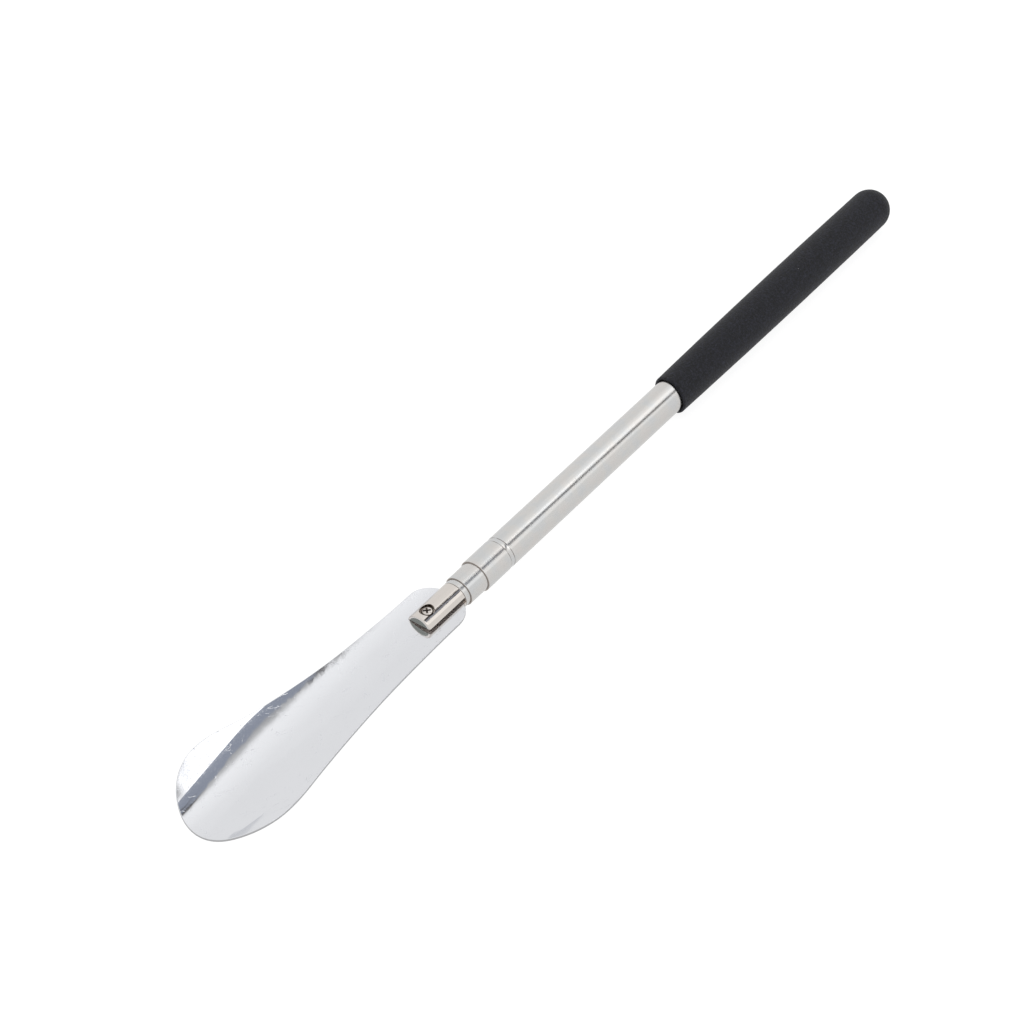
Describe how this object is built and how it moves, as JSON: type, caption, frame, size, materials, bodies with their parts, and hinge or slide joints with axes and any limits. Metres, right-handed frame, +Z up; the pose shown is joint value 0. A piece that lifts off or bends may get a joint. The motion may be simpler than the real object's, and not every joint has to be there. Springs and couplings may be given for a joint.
{
  "type": "long shoehorn",
  "caption": "Telescopic long shoehorn: trough-shaped steel blade screwed into a slotted rod end, sliding tubes and a round foam grip with a domed end.",
  "frame": {"origin": "centre of the bounding box's underside, on the surface that the grip rests on, with the pole collapsed", "axes": "+X along the pole from the blade's toe to the grip's end, +Z up and out of the blade's hollow"},
  "size_m": [0.4084, 0.0406, 0.0177],
  "materials": {
    "blade_steel": "polished, fine scratches",
    "connector_chrome": "polished",
    "screw_steel": "plated",
    "tube_steel": "satin",
    "guide_brass": "plain",
    "bush_brass": "turned",
    "ring_plastic": "matte",
    "plug_plastic": "matte",
    "pad_rubber": "matte",
    "grip_foam": "fine matte foam"
  },
  "bodies": {
    "handle": {"outer_tube": "tube_steel", "outer_guide_sleeve": "guide_brass", "base_plug": "plug_plastic", "stop_pad": "pad_rubber", "grip_sleeve": "grip_foam"},
    "middle_ring": {"middle_friction_ring": "ring_plastic"},
    "middle_stage": {"middle_tube": "tube_steel", "middle_guide_sleeve": "guide_brass", "middle_rear_bush": "bush_brass"},
    "inner_ring": {"inner_friction_ring": "ring_plastic"},
    "inner_stage": {"inner_tube": "tube_steel", "inner_rear_bush": "bush_brass", "blade_connector": "connector_chrome", "blade_screw": "screw_steel", "blade": "blade_steel"}
  },
  "joints": [
    {"name": "middle_slide", "type": "slide", "parent": "handle", "child": "middle_ring", "axis": [-1, 0, 0], "range_m": [0, 0.202]},
    {"name": "middle_turn", "type": "hinge", "parent": "middle_ring", "child": "middle_stage", "pos_m": [0, 0, 0.00857], "axis": [1, 0, 0], "continuous": true},
    {"name": "inner_slide", "type": "slide", "parent": "middle_stage", "child": "inner_ring", "axis": [-1, 0, 0], "range_m": [0, 0.1885]},
    {"name": "inner_turn", "type": "hinge", "parent": "inner_ring", "child": "inner_stage", "pos_m": [0, 0, 0.00857], "axis": [1, 0, 0], "continuous": true}
  ]
}
